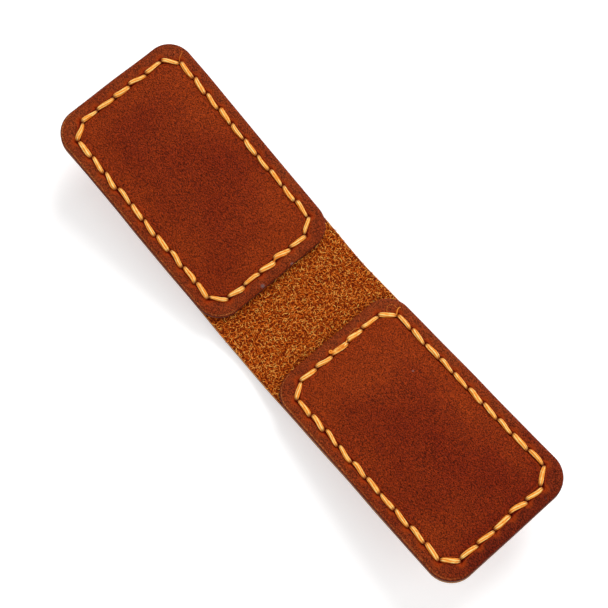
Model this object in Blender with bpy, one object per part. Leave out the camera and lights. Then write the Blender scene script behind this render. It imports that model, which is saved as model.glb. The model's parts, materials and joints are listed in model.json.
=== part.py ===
"""Folding magnetic leather clip: one strap, two sewn pads, a hidden row of magnets in each pad.

The strap lies along X with its middle resting on the ground plane at the origin. Both pads are raised
a little, so the clip stands as a shallow V. Side b is at +X, side a at -X. Each side is a chain of
narrow strap sections that turn about the strap's middle plane, and the last one carries the pad.
Lengths are in metres. Heights on a pad are measured from the middle plane of the strap.
"""

import math

import bmesh
import bpy

MM = 0.001

# Strap and pads
STRAP_WIDTH = 31.4 * MM
STRAP_THICKNESS = 1.6 * MM
PAD_LENGTH = 51.0 * MM
BAND_LENGTH = 17.0 * MM
CORNER_RADIUS = 5.2 * MM
CORNER_SEGMENTS = 5

# Patch that covers the magnets
PATCH_THICKNESS = 1.6 * MM
PATCH_SKIVED_THICKNESS = 1.3 * MM
PATCH_EDGE_ROUNDING = 0.35 * MM
SHOULDER_FOOT_RADIUS = 2.2 * MM
SHOULDER_TOP_RADIUS = 1.2 * MM
SHOULDER_OVERHANG = 0.5 * MM
GLUE_FILM = 0.1 * MM

# Magnets and the board that holds them: the windows share the board, and each magnet fits its window
INSERT_THICKNESS = 1.0 * MM
INSERT_CORNER_RADIUS = 0.6 * MM
POCKET_CLEARANCE = 0.3 * MM
MAGNET_COUNT = 3
BOARD_BAR = 1.8 * MM
BOARD_RAIL = 1.9 * MM
MAGNET_CLEARANCE = 0.3 * MM
MAGNET_EDGE_BEVEL = 0.15 * MM

# Saddle stitching
STITCH_PITCH = 4.0 * MM
SEAM_END_MARGIN = 3.0 * MM
SEAM_SIDE_MARGIN = 2.8 * MM
SEAM_CORNER_RUN_X = 2.5 * MM
SEAM_CORNER_RUN_Y = 2.9 * MM
SEAM_TO_SHOULDER = 1.3 * MM
SEAM_TO_INSERT = 3.0 * MM
SLIT_LENGTH = 1.3 * MM
SLIT_WIDTH = 0.8 * MM
THREAD_WIDTH = 1.05 * MM
THREAD_HEIGHT = 0.5 * MM
THREAD_WAIST = 0.7 * MM
THREAD_SEAT_GAP = 0.1 * MM
SLIT_THREAD_GAP = 0.2 * MM

# Fold
FOLDS_PER_SIDE = 2
REST_TILT = math.radians(10.6)
CLOSED_FACE_GAP = 0.4 * MM
FOLD_GAP = 0.3 * MM

# Heights above the middle plane of the strap
STRAP_TOP = STRAP_THICKNESS / 2
LAYER_BOTTOM = STRAP_TOP + GLUE_FILM
PATCH_TOP = LAYER_BOTTOM + PATCH_THICKNESS
INSERT_TOP = LAYER_BOTTOM + INSERT_THICKNESS
POCKET_CEILING = INSERT_TOP + GLUE_FILM
PLATEAU_TOP = POCKET_CEILING + PATCH_SKIVED_THICKNESS

# Margins from the edge of a patch, outside the seam and inwards from it
WIDEST_SEAM_MARGIN = max(SEAM_END_MARGIN, SEAM_SIDE_MARGIN)
SHOULDER_FOOT_MARGIN = WIDEST_SEAM_MARGIN + SEAM_TO_SHOULDER
INSERT_MARGIN = WIDEST_SEAM_MARGIN + SEAM_TO_INSERT
SHOULDER_TOP_MARGIN = INSERT_MARGIN - SHOULDER_OVERHANG
INSERT_LENGTH = PAD_LENGTH - 2 * INSERT_MARGIN
INSERT_WIDTH = STRAP_WIDTH - 2 * INSERT_MARGIN
WINDOW_LENGTH = (INSERT_LENGTH - (MAGNET_COUNT + 1) * BOARD_BAR) / MAGNET_COUNT
WINDOW_WIDTH = INSERT_WIDTH - 2 * BOARD_RAIL

# Where the folds lie: with every fold at its share of a half turn, the two pads meet face to face
FOLD_COUNT = 2 * FOLDS_PER_SIDE
CLOSED_TURN = math.pi / FOLD_COUNT
REST_TURN = REST_TILT / FOLDS_PER_SIDE
CLOSED_WIDTH = 2 * PLATEAU_TOP + CLOSED_FACE_GAP
FOLD_SPACING = CLOSED_WIDTH * math.tan(CLOSED_TURN / 2)
FIRST_FOLD = FOLD_SPACING / 2
LAST_FOLD = FIRST_FOLD + (FOLDS_PER_SIDE - 1) * FOLD_SPACING
FOLD_CHAMFER = STRAP_TOP * math.tan(CLOSED_TURN / 2)

# The pad, seen from the last fold
PAD_START = BAND_LENGTH / 2 - LAST_FOLD
PAD_CENTRE = PAD_START + PAD_LENGTH / 2
PAD_END = PAD_START + PAD_LENGTH


def clear_scene():
    for scene_object in list(bpy.data.objects):
        bpy.data.objects.remove(scene_object, do_unlink=True)


def surface_material(name, colour, roughness, metallic=0.0):
    material = bpy.data.materials.new(name)
    material.use_nodes = True
    shader = material.node_tree.nodes["Principled BSDF"]
    shader.inputs["Base Color"].default_value = (*colour, 1.0)
    shader.inputs["Roughness"].default_value = roughness
    shader.inputs["Metallic"].default_value = metallic
    return material


def rounded_rectangle(centre_x, half_x, half_y, radius, height):
    """Points round a rectangle with round corners, anticlockwise from the end of its side at +X."""
    points = []
    corners = ((1, 1, 0), (-1, 1, 1), (-1, -1, 2), (1, -1, 3))
    for sign_x, sign_y, quarter in corners:
        for step in range(CORNER_SEGMENTS + 1):
            angle = (quarter + step / CORNER_SEGMENTS) * math.pi / 2
            x = centre_x + sign_x * (half_x - radius) + radius * math.cos(angle)
            y = sign_y * (half_y - radius) + radius * math.sin(angle)
            points.append((x, y, height))
    return points


def tongue_outline(start_x, end_x, height):
    """Points round a strap end: square at start_x, with round corners at end_x."""
    half_y = STRAP_WIDTH / 2
    points = [(start_x, -half_y, height)]
    for sign_y, quarter in ((-1, 3), (1, 0)):
        for step in range(CORNER_SEGMENTS + 1):
            angle = (quarter + step / CORNER_SEGMENTS) * math.pi / 2
            x = end_x - CORNER_RADIUS + CORNER_RADIUS * math.cos(angle)
            y = sign_y * (half_y - CORNER_RADIUS) + CORNER_RADIUS * math.sin(angle)
            points.append((x, y, height))
    points.append((start_x, half_y, height))
    return points


def finished_mesh(name, shape, smooth_angle=math.radians(35)):
    """A mesh from a bmesh, with its faces outwards and its round stretches shaded smooth."""
    bmesh.ops.recalc_face_normals(shape, faces=shape.faces)
    mesh = bpy.data.meshes.new(name)
    shape.to_mesh(mesh)
    shape.free()
    mesh.shade_smooth()
    mesh.set_sharp_from_angle(angle=smooth_angle)
    return mesh


def bridged(shape, first, second):
    """Joins two matching closed loops of vertices with a band of quads."""
    for index in range(len(first)):
        following = (index + 1) % len(first)
        shape.faces.new((first[index], first[following], second[following], second[index]))


def lofted_mesh(name, rings):
    """A closed body through matching rings of points, capped at its first and its last ring."""
    shape = bmesh.new()
    loops = [[shape.verts.new(point) for point in ring] for ring in rings]
    for lower, upper in zip(loops, loops[1:]):
        bridged(shape, lower, upper)
    shape.faces.new(loops[0])
    shape.faces.new(loops[-1])
    return finished_mesh(name, shape)


def placed(name, mesh, material, parent):
    node = bpy.data.objects.new(name, mesh)
    bpy.context.scene.collection.objects.link(node)
    if not mesh.materials:
        mesh.materials.append(material)
    node.parent = parent
    return node


def frame(name, parent=None, location=(0, 0, 0), rotation=(0, 0, 0)):
    """An empty that carries whatever is parented to it."""
    empty = bpy.data.objects.new(name, None)
    empty.empty_display_size = 5 * MM
    empty.location = location
    empty.rotation_euler = rotation
    empty.parent = parent
    bpy.context.scene.collection.objects.link(empty)
    return empty


def fold_chain(side, heading):
    """The fold axes of one side, from the middle outwards, each on the strap's middle plane."""
    parent = frame(f"side_{side}", location=(0, 0, STRAP_TOP), rotation=(0, 0, heading))
    folds = []
    for index in range(FOLDS_PER_SIDE):
        distance = FOLD_SPACING if index else FIRST_FOLD
        parent = frame(
            f"fold_{side}_{index + 1}", parent, location=(distance, 0, 0), rotation=(0, -REST_TURN, 0)
        )
        folds.append(parent)
    return folds


def fold_levels(fold_x, sign):
    """(x, height) down one end of a section: leaning back above the fold axis, so that it can close."""
    edge = fold_x + sign * FOLD_GAP / 2
    return ((edge, -STRAP_TOP), (edge, 0), (edge + sign * FOLD_CHAMFER, STRAP_TOP))


def strap_section_mesh(name, start_x, end_x):
    """A piece of strap between two folds."""
    half_y = STRAP_WIDTH / 2
    start = fold_levels(start_x, 1)
    end = fold_levels(end_x, -1)
    rings = []
    for (near_x, height), (far_x, _) in zip(start, end):
        rings.append(
            [
                (near_x, -half_y, height),
                (far_x, -half_y, height),
                (far_x, half_y, height),
                (near_x, half_y, height),
            ]
        )
    return lofted_mesh(name, rings)


def seam_holes():
    """Hole centres round one pad, anticlockwise, each with the unit direction of the seam there."""
    half_x = PAD_LENGTH / 2 - SEAM_END_MARGIN
    half_y = STRAP_WIDTH / 2 - SEAM_SIDE_MARGIN
    run_x = half_x - SEAM_CORNER_RUN_X
    run_y = half_y - SEAM_CORNER_RUN_Y
    sides = (
        ((-run_x, -half_y), (run_x, -half_y)),
        ((half_x, -run_y), (half_x, run_y)),
        ((run_x, half_y), (-run_x, half_y)),
        ((-half_x, run_y), (-half_x, -run_y)),
    )
    points = []
    for (from_x, from_y), (to_x, to_y) in sides:
        length = math.hypot(to_x - from_x, to_y - from_y)
        stitches = max(1, round(length / STITCH_PITCH))
        for step in range(stitches + 1):
            share = step / stitches
            points.append((PAD_CENTRE + from_x + (to_x - from_x) * share, from_y + (to_y - from_y) * share))
    holes = []
    for index, (x, y) in enumerate(points):
        before = points[index - 1]
        after = points[(index + 1) % len(points)]
        arriving = math.atan2(y - before[1], x - before[0])
        turn = math.atan2(after[1] - y, after[0] - x) - arriving
        turn = (turn + math.pi) % (2 * math.pi) - math.pi
        heading = arriving + turn / 2
        holes.append((x, y, math.cos(heading), math.sin(heading)))
    return holes


def slit_cutter(name, parent):
    """The awl slits of one seam, as prisms that run through every leather layer."""
    shape = bmesh.new()
    lowest = -2 * STRAP_THICKNESS
    highest = PATCH_TOP + STRAP_THICKNESS
    for x, y, along_x, along_y in seam_holes():
        loops = []
        for height in (lowest, highest):
            loop = []
            for along, across in ((-1, -1), (1, -1), (1, 1), (-1, 1)):
                forward = along * SLIT_LENGTH / 2
                sideways = across * SLIT_WIDTH / 2
                loop.append(
                    shape.verts.new(
                        (
                            x + forward * along_x - sideways * along_y,
                            y + forward * along_y + sideways * along_x,
                            height,
                        )
                    )
                )
            loops.append(loop)
        bridged(shape, loops[0], loops[1])
        shape.faces.new(loops[0])
        shape.faces.new(loops[1])
    cutter = bpy.data.objects.new(name, finished_mesh(name, shape))
    bpy.context.scene.collection.objects.link(cutter)
    cutter.parent = parent
    cutter.hide_render = True
    cutter.display_type = "WIRE"
    return cutter


def cut_with(node, cutter):
    boolean = node.modifiers.new("cut", "BOOLEAN")
    boolean.operation = "DIFFERENCE"
    boolean.solver = "EXACT"
    boolean.object = cutter


def strap_end_mesh():
    """The strap from the last fold to its round end, under the whole pad."""
    rings = [tongue_outline(x, PAD_END, height) for x, height in fold_levels(0, 1)]
    return lofted_mesh("strap_end", rings)


def patch_mesh():
    """The moulded patch: flat where it is sewn, raised over the insert, hollow underneath."""
    half_x = PAD_LENGTH / 2
    half_y = STRAP_WIDTH / 2

    def ring(margin, radius, height):
        return rounded_rectangle(PAD_CENTRE, half_x - margin, half_y - margin, radius, height)

    pocket_margin = INSERT_MARGIN - POCKET_CLEARANCE
    pocket_radius = INSERT_CORNER_RADIUS + POCKET_CLEARANCE
    rings = [
        ring(pocket_margin, pocket_radius, POCKET_CEILING),
        ring(pocket_margin, pocket_radius, LAYER_BOTTOM),
        ring(0, CORNER_RADIUS, LAYER_BOTTOM),
        ring(0, CORNER_RADIUS, PATCH_TOP - PATCH_EDGE_ROUNDING),
        ring(PATCH_EDGE_ROUNDING, CORNER_RADIUS - PATCH_EDGE_ROUNDING, PATCH_TOP),
        ring(SHOULDER_FOOT_MARGIN, SHOULDER_FOOT_RADIUS, PATCH_TOP),
        ring(SHOULDER_TOP_MARGIN, SHOULDER_TOP_RADIUS, PLATEAU_TOP),
    ]
    return lofted_mesh("patch", rings)


def thread_ring(shape, centre, direction, facing, half_width, height):
    """Six vertices round the thread: flat against the leather, crowned on the side that faces out.

    The first two are the ends of the flat side. facing is +1 on the grain face, -1 on the underside.
    """
    x, y, seat = centre
    along_x, along_y = direction
    profile = ((-0.5, 0), (0.5, 0), (1, 0.5), (0.5, 1), (-0.5, 1), (-1, 0.5))
    loop = []
    for across, lift in profile:
        sideways = across * half_width
        point = (x - sideways * along_y, y + sideways * along_x, seat + facing * lift * height)
        loop.append(shape.verts.new(point))
    return loop


def thread_run(shape, holes, facing, seat, post_half):
    """A closed loop of thread on one face, open towards the leather at each hole, where a post meets it."""
    flat_side = 0
    mouths = []
    pairs = []
    for x, y, along_x, along_y in holes:
        waist = []
        for sign in (-1, 1):
            centre = (x + sign * post_half * along_x, y + sign * post_half * along_y, seat)
            waist.append(
                thread_ring(shape, centre, (along_x, along_y), facing, THREAD_WAIST / 2, THREAD_HEIGHT / 2)
            )
        pairs.append(waist)
        mouths.append((waist[0][0], waist[0][1], waist[1][1], waist[1][0]))
        for index in range(6):
            if index != flat_side:
                following = (index + 1) % 6
                shape.faces.new((waist[0][index], waist[0][following], waist[1][following], waist[1][index]))
    for index, (x, y, _, _) in enumerate(holes):
        following = (index + 1) % len(holes)
        next_x, next_y = holes[following][:2]
        length = math.hypot(next_x - x, next_y - y)
        direction = ((next_x - x) / length, (next_y - y) / length)
        centre = ((x + next_x) / 2, (y + next_y) / 2, seat)
        crown = thread_ring(shape, centre, direction, facing, THREAD_WIDTH / 2, THREAD_HEIGHT)
        bridged(shape, pairs[index][1], crown)
        bridged(shape, crown, pairs[following][0])
    return mouths


def thread_mesh():
    """One saddle-stitched thread: a run on each face of the pad, joined by a post in every slit."""
    shape = bmesh.new()
    holes = seam_holes()
    post_half = SLIT_LENGTH / 2 - SLIT_THREAD_GAP
    top = thread_run(shape, holes, 1, PATCH_TOP + THREAD_SEAT_GAP, post_half)
    underside = thread_run(shape, holes, -1, -STRAP_TOP - THREAD_SEAT_GAP, post_half)
    for upper, lower in zip(top, underside):
        bridged(shape, upper, lower)
    return finished_mesh("thread", shape)


def magnet_centres():
    """Distance of each magnet from the last fold, with a bar of board before, between and after them."""
    first = PAD_START + INSERT_MARGIN + BOARD_BAR + WINDOW_LENGTH / 2
    return [first + index * (WINDOW_LENGTH + BOARD_BAR) for index in range(MAGNET_COUNT)]


def insert_board_mesh():
    rings = [
        rounded_rectangle(PAD_CENTRE, INSERT_LENGTH / 2, INSERT_WIDTH / 2, INSERT_CORNER_RADIUS, height)
        for height in (LAYER_BOTTOM, INSERT_TOP)
    ]
    return lofted_mesh("magnet_board", rings)


def box_shape(size):
    shape = bmesh.new()
    bmesh.ops.create_cube(shape, size=1)
    bmesh.ops.scale(shape, vec=size, verts=shape.verts)
    return shape


def window_cutter(name, parent, centre_x):
    """A box that opens the board where one magnet sits."""
    size = (WINDOW_LENGTH, WINDOW_WIDTH, 4 * INSERT_THICKNESS)
    cutter = bpy.data.objects.new(name, finished_mesh(name, box_shape(size)))
    bpy.context.scene.collection.objects.link(cutter)
    cutter.location = (centre_x, 0, (LAYER_BOTTOM + INSERT_TOP) / 2)
    cutter.parent = parent
    cutter.hide_render = True
    cutter.display_type = "WIRE"
    return cutter


def magnet_mesh():
    length = WINDOW_LENGTH - 2 * MAGNET_CLEARANCE
    width = WINDOW_WIDTH - 2 * MAGNET_CLEARANCE
    shape = box_shape((length, width, INSERT_THICKNESS))
    bmesh.ops.bevel(
        shape, geom=list(shape.edges), offset=MAGNET_EDGE_BEVEL, segments=1, affect="EDGES", profile=0.5
    )
    return finished_mesh("magnet", shape)


def make_strap_middle(suede):
    middle = frame("strap_centre", location=(0, 0, STRAP_TOP))
    placed("strap_middle", strap_section_mesh("strap_middle", -FIRST_FOLD, FIRST_FOLD), suede, middle)


def make_fold_sections(side, folds, suede):
    for index, fold in enumerate(folds[:-1]):
        name = f"strap_fold_{side}_{index + 1}"
        placed(name, strap_section_mesh(name, 0, FOLD_SPACING), suede, fold)


def make_pad(side, fold, materials, meshes):
    """Everything that turns with the last fold of one side: strap end, patch, thread, board and magnets."""
    slits = slit_cutter(f"slits_{side}", fold)
    strap_end = placed(f"strap_end_{side}", meshes["strap_end"], materials["suede"], fold)
    cut_with(strap_end, slits)
    patch = placed(f"patch_{side}", meshes["patch"], materials["grain"], fold)
    cut_with(patch, slits)
    placed(f"thread_{side}", meshes["thread"], materials["thread"], fold)
    board = placed(f"magnet_board_{side}", meshes["board"], materials["board"], fold)
    for number, centre_x in enumerate(magnet_centres(), start=1):
        cut_with(board, window_cutter(f"window_{side}_{number}", fold, centre_x))
        magnet = placed(f"magnet_{side}_{number}", meshes["magnet"], materials["nickel"], fold)
        magnet.location = (centre_x, 0, (LAYER_BOTTOM + INSERT_TOP) / 2)


def main():
    clear_scene()
    materials = {
        "suede": surface_material("flesh side leather", (0.28, 0.075, 0.012), 0.95),
        "grain": surface_material("pull-up grain leather", (0.18, 0.022, 0.007), 0.55),
        "thread": surface_material("waxed linen thread", (0.83, 0.33, 0.06), 0.6),
        "board": surface_material("grey fibreboard", (0.25, 0.24, 0.22), 0.9),
        "nickel": surface_material("nickel plating", (0.6, 0.58, 0.54), 0.25, metallic=1.0),
    }
    meshes = {
        "strap_end": strap_end_mesh(),
        "patch": patch_mesh(),
        "thread": thread_mesh(),
        "board": insert_board_mesh(),
        "magnet": magnet_mesh(),
    }
    make_strap_middle(materials["suede"])
    for side, heading in (("a", math.pi), ("b", 0.0)):
        folds = fold_chain(side, heading)
        make_fold_sections(side, folds, materials["suede"])
        make_pad(side, folds[-1], materials, meshes)


main()
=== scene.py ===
"""The look of a folding magnetic leather clip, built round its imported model.

Leather and thread are shaped flat, as on the bench, and then laid on the strap's bent middle line.
A flat place is (along, across, height): millimetres from the middle of the strap, from its centre
line, and above the middle of its thickness. Side b is at +X, side a is side b turned half round.
"""

import json

import bpy
import numpy as np
from mathutils import Matrix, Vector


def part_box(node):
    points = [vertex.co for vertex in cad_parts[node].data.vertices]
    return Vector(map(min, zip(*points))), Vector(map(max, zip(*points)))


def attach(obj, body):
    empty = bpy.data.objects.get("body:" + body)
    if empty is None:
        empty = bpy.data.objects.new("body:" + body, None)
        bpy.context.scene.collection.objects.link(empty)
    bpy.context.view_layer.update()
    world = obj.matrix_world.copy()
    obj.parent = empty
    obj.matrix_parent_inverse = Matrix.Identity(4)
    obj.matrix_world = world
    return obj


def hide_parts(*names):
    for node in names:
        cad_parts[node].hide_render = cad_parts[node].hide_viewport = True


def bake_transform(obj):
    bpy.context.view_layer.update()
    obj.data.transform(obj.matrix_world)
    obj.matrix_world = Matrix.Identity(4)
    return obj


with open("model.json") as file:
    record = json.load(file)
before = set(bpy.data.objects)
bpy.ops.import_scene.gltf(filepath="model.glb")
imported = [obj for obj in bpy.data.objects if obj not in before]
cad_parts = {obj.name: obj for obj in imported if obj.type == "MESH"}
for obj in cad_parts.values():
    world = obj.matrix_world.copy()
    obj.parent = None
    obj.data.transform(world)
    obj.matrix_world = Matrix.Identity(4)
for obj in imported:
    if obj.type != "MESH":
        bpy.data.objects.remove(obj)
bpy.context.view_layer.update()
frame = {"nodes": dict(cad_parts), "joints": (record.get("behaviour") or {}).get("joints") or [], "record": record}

# --- Strap -----------------------------------------------------------------------------------------
# One strap of vegetable-tanned leather, 1.6 mm thick, flesh side up and grain side down. It is cut
# with a knife, its ends are rounded, and the bare flesh side between the patches is the fold.
# The fold bends over four lines, so the strap is made in six lengths that meet without a gap.

MM = 0.001
folds = {joint["name"]: joint for joint in frame["joints"]}
mounts = {mount["name"]: mount for mount in frame["record"]["mounts"]}
FIRST_FOLD = np.array(folds["fold_b_1"]["pos_m"]) / MM
LAST_FOLD = np.array(folds["fold_b_2"]["pos_m"]) / MM
FOLD_SPACING = np.linalg.norm(LAST_FOLD - FIRST_FOLD)
PAD_TILT = np.arctan2(-mounts["grip_face_b"]["axis"][0], mounts["grip_face_b"]["axis"][2])
STRAP_HALF_THICKNESS = FIRST_FOLD[2]
STRAP_HALF_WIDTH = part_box("strap_middle")[1].y / MM
# The arc of the bend touches the middle of each length between two folds, and ends as far past the
# last fold as it touches before it
BEND_RADIUS = FOLD_SPACING / 2 / np.tan(PAD_TILT / 4)
BEND_END = BEND_RADIUS * PAD_TILT
STRAP_END_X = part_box("strap_end_b")[1].x / MM
STRAP_REACH = (
    STRAP_END_X - LAST_FOLD[0] - STRAP_HALF_THICKNESS * np.sin(PAD_TILT)
) / np.cos(PAD_TILT) + BEND_END - FOLD_SPACING / 2
CORNER_RADIUS = 5.2
PAD_LENGTH = 51.0
# Where the pads lie along the strap, and which way each of them points
PAD_START = STRAP_REACH - PAD_LENGTH
PAD_CENTRE = STRAP_REACH - PAD_LENGTH / 2
HEADINGS = {"a": -1, "b": 1}

# The finishes of a piece of leather, by their place in its list of materials
GRAIN, EDGE, NAP = 0, 1, 2


def bent(along, across, height):
    """The model's place, in metres, of a flat place. The middle line is an arc as far as BEND_END and
    straight at the pads' tilt beyond, and height is measured square to it."""
    reach = np.abs(along)
    turn = np.minimum(reach, BEND_END) / BEND_RADIUS
    run = np.maximum(reach - BEND_END, 0)
    x = (BEND_RADIUS - height) * np.sin(turn) + run * np.cos(turn)
    z = BEND_RADIUS - (BEND_RADIUS - height) * np.cos(turn) + run * np.sin(turn)
    return np.stack([np.sign(along) * x, across, z + STRAP_HALF_THICKNESS], -1) * MM


def smooth(low, high, value):
    """0 below low, 1 above high, and 3 t^2 - 2 t^3 between them."""
    share = np.clip((value - low) / (high - low), 0, 1)
    return share * share * (3 - 2 * share)


def hills(x, y, seed):
    """Noise from -1 to 1: random heights on whole numbers, blended between them by smoothstep. What
    callers add to x and y only chooses the part of it that they read."""
    size = 256
    heights = np.random.default_rng(seed).uniform(-1, 1, (size, size))
    i, j = np.floor(x).astype(int), np.floor(y).astype(int)
    u, v = smooth(0, 1, x - i), smooth(0, 1, y - j)
    near = heights[i % size, j % size] * (1 - u) + heights[(i + 1) % size, j % size] * u
    far = heights[i % size, (j + 1) % size] * (1 - u) + heights[(i + 1) % size, (j + 1) % size] * u
    return near * (1 - v) + far * v


CREASE_WIDTH = 0.2


def creases(x, y, seed):
    """1 on the lines between cells and 0 inside them: exp(-((d2 - d1) / CREASE_WIDTH)^2), where d1 and
    d2 are the distances to the two nearest of the points that lie at random in unit squares."""
    size = 256
    jitter = np.random.default_rng(seed).uniform(0, 1, (size, size, 2))
    i, j = np.floor(x).astype(int), np.floor(y).astype(int)
    near = [
        np.hypot(
            i + a + jitter[(i + a) % size, (j + b) % size, 0] - x,
            j + b + jitter[(i + a) % size, (j + b) % size, 1] - y,
        )
        for a in (-1, 0, 1)
        for b in (-1, 0, 1)
    ]
    near = np.sort(np.stack(near), axis=0)
    return np.exp(-(((near[1] - near[0]) / CREASE_WIDTH) ** 2))


PEBBLE_LENGTH, PEBBLE_WIDTH = 0.95, 0.6
GRAIN_DROP = 0.042


def grain_height(x, y, seed):
    """Height of a grain face, in millimetres and never above 0: pebbles that lie longer on one
    diagonal, parted by creases 0.02 mm deep, over a roughness of 0.01 mm and a slow rise of 0.03 mm."""
    turned_x, turned_y = 0.8 * x + 0.6 * y, -0.6 * x + 0.8 * y
    parted = creases(turned_x / PEBBLE_LENGTH, turned_y / PEBBLE_WIDTH, seed)
    rough, slow = hills(x / 0.5, y / 0.5, seed + 1), hills(x / 5, y / 5, seed + 2)
    return -0.02 * parted + 0.01 * rough + 0.03 * slow - GRAIN_DROP


WARP, WARP_SPAN = 0.08, 8
SHARP_ANGLE = np.radians(70)


class Skin:
    """A piece in the flat: its points, three marks for each that its materials read, and its faces."""

    def __init__(self):
        self.places, self.marks, self.faces, self.finishes, self.count = [], [], [], [], 0

    def add(self, along, across, height, marks=(0, 0, 0)):
        """Adds arrays of points of one shape and returns their numbers in that shape."""
        along, across, height = np.broadcast_arrays(along, across, height)
        shape = along.shape
        self.places.append(np.stack([along, across, height], -1).reshape(-1, 3))
        marks = np.stack(np.broadcast_arrays(*marks, along)[:3], -1)
        self.marks.append(marks.reshape(-1, 3))
        self.count += along.size
        return np.arange(self.count - along.size, self.count).reshape(shape)

    def face(self, corners, finish):
        """Adds faces: an array whose last axis lists the corners of each one."""
        corners = corners.reshape(-1, corners.shape[-1])
        self.faces += corners.tolist()
        self.finishes += [finish] * len(corners)

    def net(self, numbers, finish, under=False):
        """Faces over a grid of points, upwards, or downwards if under."""
        corners = [numbers[:-1, :-1], numbers[1:, :-1], numbers[1:, 1:], numbers[:-1, 1:]]
        self.face(np.stack(corners[::-1] if under else corners, -1), finish)

    def wall(self, lower, upper, finish):
        """Faces between two closed loops of points, pointing away from the middle of the loop."""
        corners = [lower, np.roll(lower, -1), np.roll(upper, -1), upper]
        self.face(np.stack(corners, -1), finish)

    def rim(self, loop, profile, grid):
        """Builds a cut edge up from a loop of points, ring by ring. Its profile is (inset, height)
        pairs, and grid gives the places of the whole face at an inset."""
        for inset, height in profile:
            x, y = (border(part) for part in grid(inset))
            ring = self.add(x, y, height)
            self.wall(loop, ring, EDGE)
            loop = ring
        return loop

    def made(self, name, finishes, heading=1, warp_seed=0):
        """The mesh object: every place is warped a little, as cut leather is, but not along the strap
        where its lengths meet. It is then turned half round for side a, and bent. Materials find hide
        (the flat place) and marks on it."""
        flat = np.concatenate(self.places)
        x, y = flat[:, 0] / WARP_SPAN + 100, flat[:, 1] / WARP_SPAN + 100
        free = smooth(BEND_END, BEND_END + 4, np.abs(flat[:, 0]))
        flat[:, 0] += WARP * hills(x, y, warp_seed) * free
        flat[:, 1] += WARP * hills(x, y, warp_seed + 1)
        flat[:, :2] *= heading
        mesh = bpy.data.meshes.new(name)
        mesh.from_pydata(bent(*flat.T), [], self.faces)
        mesh.polygons.foreach_set("material_index", np.array(self.finishes, np.int32))
        for attribute, values in (("hide", flat), ("marks", np.concatenate(self.marks))):
            layer = mesh.attributes.new(attribute, "FLOAT_VECTOR", "POINT")
            layer.data.foreach_set("vector", values.astype(np.float32).ravel())
        for material in finishes:
            mesh.materials.append(material)
        mesh.shade_smooth()
        mesh.set_sharp_from_angle(angle=SHARP_ANGLE)
        piece = bpy.data.objects.new(name, mesh)
        bpy.context.scene.collection.objects.link(piece)
        return piece


def round_corner_grid(rows, columns, radius, shrink=(1, 1)):
    """Places over a rectangle with round corners. Each line has a base and a share of the radius, and
    x = base + radius * share * sqrt(1 - other share^2 / 2), which bends a corner's squares to a
    quarter disc. y is the same the other way round, and shrink draws the bases in."""
    base_x, share_x = (part[:, None] for part in rows)
    base_y, share_y = (part[None, :] for part in columns)
    x = base_x * shrink[0] + radius * share_x * np.sqrt(1 - share_y**2 / 2)
    y = base_y * shrink[1] + radius * share_y * np.sqrt(1 - share_x**2 / 2)
    return x, y


def lines(low, high, step):
    """Bases and shares of evenly spaced lines from low to high, no further apart than step."""
    base = np.linspace(low, high, max(2, int(np.ceil((high - low) / step)) + 1))
    return base, np.zeros(len(base))


def corner_lines(base, sign, step=0.125):
    """Bases and shares of the lines over a round corner, from its straight side outwards."""
    share = np.linspace(0, 1, int(CORNER_RADIUS / step) + 1)[1:]
    return np.full(len(share), base), sign * share


def joined_lines(*parts):
    """Bases and shares of several runs of lines, one after the other."""
    return tuple(np.concatenate(pieces) for pieces in zip(*parts))


def border(grid):
    """A grid's outer line, anticlockwise from its first corner."""
    return np.concatenate([grid[:-1, 0], grid[-1, :-1], grid[:0:-1, -1], grid[0, :0:-1]])


# Half the straight part of an end, and the spacing of the points on worked faces and on bare ones
STRAIGHT_HALF = STRAP_HALF_WIDTH - CORNER_RADIUS
FINE_STEP, BARE_STEP = 0.2, 0.16
first_columns = corner_lines(-STRAIGHT_HALF, -1)
across_lines = joined_lines(
    tuple(part[::-1] for part in first_columns),
    lines(-STRAIGHT_HALF, STRAIGHT_HALF, FINE_STEP),
    corner_lines(STRAIGHT_HALF, 1),
)

# How far in the faces of the strap start, and the profile of its cut edge as (inset, height)
GRAIN_INSET, FLESH_INSET = 0.32, 0.16
STRAP_RIM = ((0.17, -0.74), (0.05, -0.62), (0.0, -0.42), (0.02, 0.0), (0.0, 0.45), (0.04, 0.68))

# Seam: its sides from the middle of the pad, half the stitched run of each, and the number of 4 mm
# stitches in it. One slanting stitch crosses each corner, and the awl is held a little askew.
SEAM_END_MARGIN, SEAM_SIDE_MARGIN = 3.0, 2.8
SEAM_HALF_X, SEAM_HALF_Y = PAD_LENGTH / 2 - SEAM_END_MARGIN, STRAP_HALF_WIDTH - SEAM_SIDE_MARGIN
SEAM_RUN_X, SEAM_RUN_Y = 20.0, 10.0
LONG_SIDE_STITCHES, SHORT_SIDE_STITCHES = 10, 5
AWL_SLANT, HOLE_STRAY = np.radians(10), 0.1


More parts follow.
